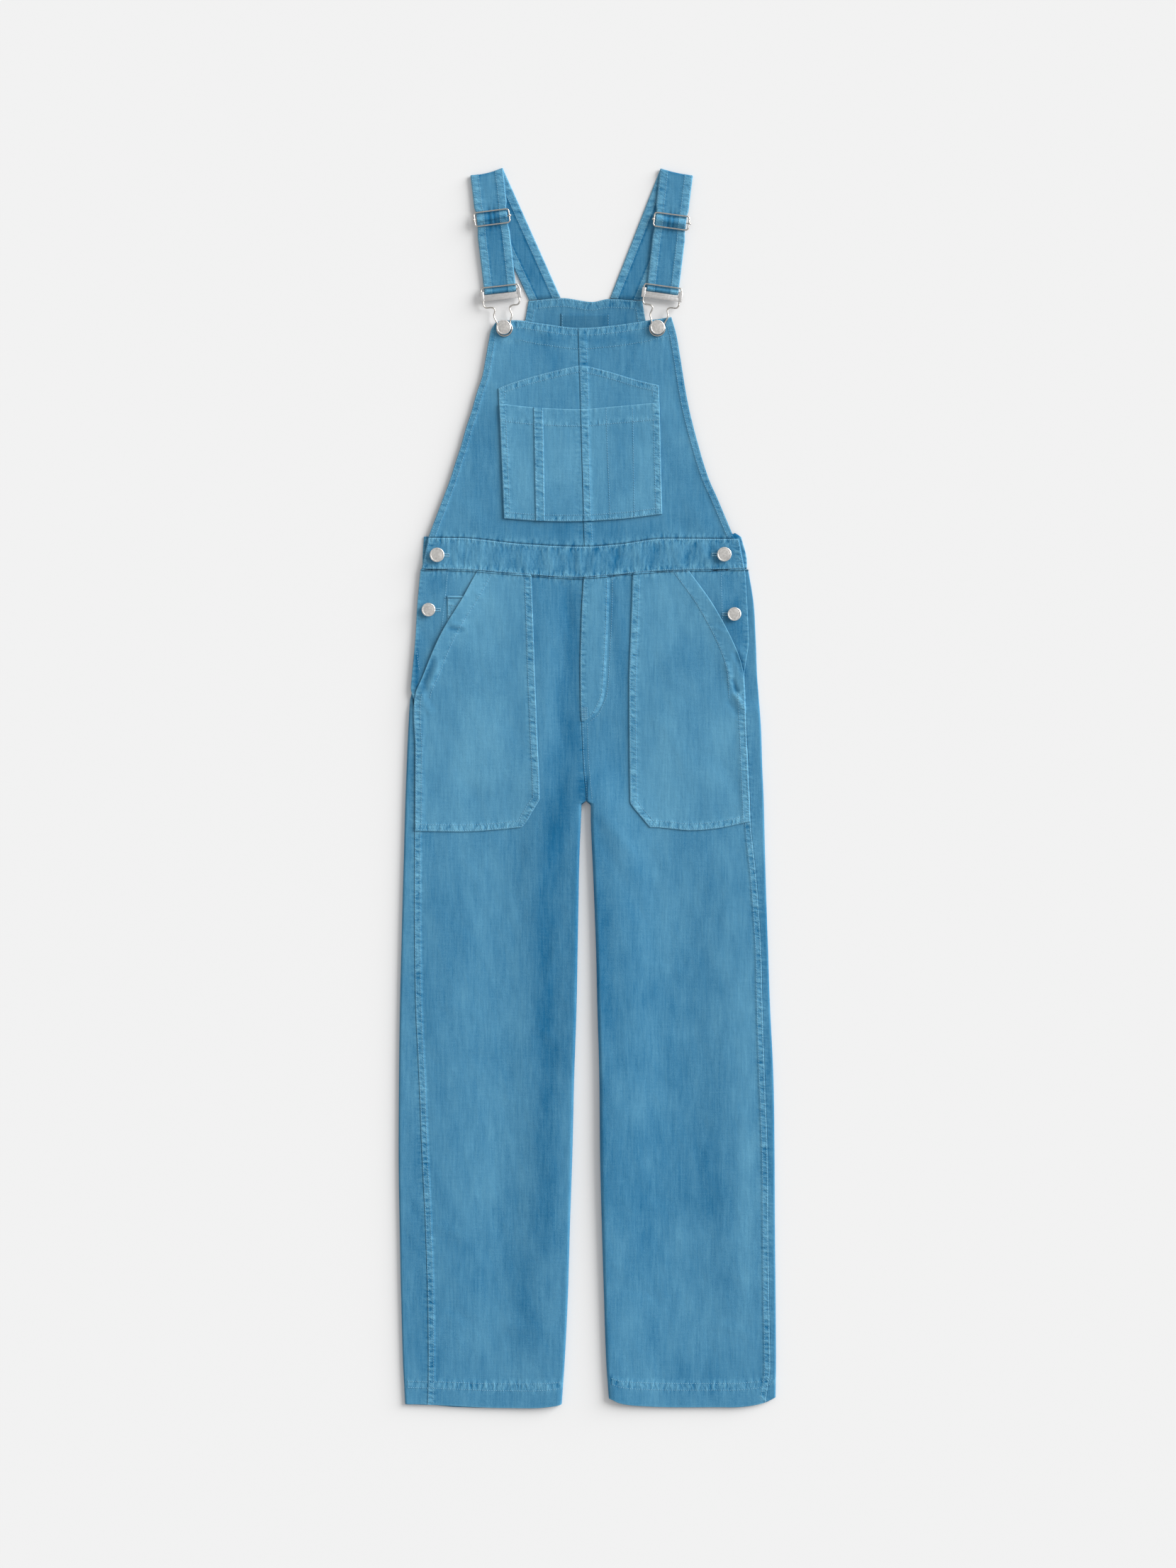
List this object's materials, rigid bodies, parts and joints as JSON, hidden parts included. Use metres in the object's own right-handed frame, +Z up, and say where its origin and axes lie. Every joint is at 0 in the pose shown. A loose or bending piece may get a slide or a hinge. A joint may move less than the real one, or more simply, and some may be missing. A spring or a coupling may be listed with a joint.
{
  "type": "bib overalls",
  "caption": "Bib overalls in cotton twill laid flat on their back, straps up and buckled, with bib, hip and coin pockets.",
  "frame": {"origin": "middle of the garment's box at the surface it lies on", "axes": "+X to the garment's right as seen from above, +Y from the hems to the shoulder folds, +Z up out of the front"},
  "size_m": [0.4362, 1.434, 0.0108],
  "materials": {
    "front_panel_left": "washed garment-dyed cotton twill",
    "front_panel_right": "washed garment-dyed cotton twill",
    "back_panel_left": "washed garment-dyed cotton twill",
    "back_panel_right": "washed garment-dyed cotton twill",
    "waistband_front": "washed garment-dyed cotton twill",
    "waistband_back": "washed garment-dyed cotton twill",
    "bib_left": "washed garment-dyed cotton twill",
    "bib_right": "washed garment-dyed cotton twill",
    "bib_pocket_under": "washed garment-dyed cotton twill",
    "bib_pocket_over_left": "washed garment-dyed cotton twill",
    "bib_pocket_over_right": "washed garment-dyed cotton twill",
    "pencil_pocket_lap": "washed garment-dyed cotton twill",
    "hip_pocket_left": "washed garment-dyed cotton twill",
    "hip_pocket_right": "washed garment-dyed cotton twill",
    "coin_pocket": "washed garment-dyed cotton twill",
    "fly": "washed garment-dyed cotton twill",
    "strap_left": "washed garment-dyed cotton twill",
    "strap_right": "washed garment-dyed cotton twill",
    "back_bib": "washed garment-dyed cotton twill, inside face",
    "label_patch": "washed garment-dyed cotton twill, inside face",
    "slider_left": "worn nickel plate",
    "slider_right": "worn nickel plate",
    "buckle_left": "worn nickel plate",
    "buckle_right": "worn nickel plate",
    "bib_button_left": "worn nickel plate",
    "bib_button_right": "worn nickel plate",
    "waist_button_left": "worn nickel plate",
    "waist_button_right": "worn nickel plate",
    "side_button_left": "worn nickel plate",
    "side_button_right": "worn nickel plate"
  },
  "bodies": {
    "root": {"front_panel_left": "front_panel_left", "front_panel_right": "front_panel_right", "back_panel_left": "back_panel_left", "back_panel_right": "back_panel_right", "waistband_front": "waistband_front", "waistband_back": "waistband_back", "bib_left": "bib_left", "bib_right": "bib_right", "bib_pocket_under": "bib_pocket_under", "bib_pocket_over_left": "bib_pocket_over_left", "bib_pocket_over_right": "bib_pocket_over_right", "pencil_pocket_lap": "pencil_pocket_lap", "hip_pocket_left": "hip_pocket_left", "hip_pocket_right": "hip_pocket_right", "coin_pocket": "coin_pocket", "fly": "fly", "strap_left": "strap_left", "strap_right": "strap_right", "back_bib": "back_bib", "label_patch": "label_patch", "slider_left": "slider_left", "slider_right": "slider_right", "buckle_left": "buckle_left", "buckle_right": "buckle_right", "bib_button_left": "bib_button_left", "bib_button_right": "bib_button_right", "waist_button_left": "waist_button_left", "waist_button_right": "waist_button_right", "side_button_left": "side_button_left", "side_button_right": "side_button_right"}
  },
  "joints": []
}
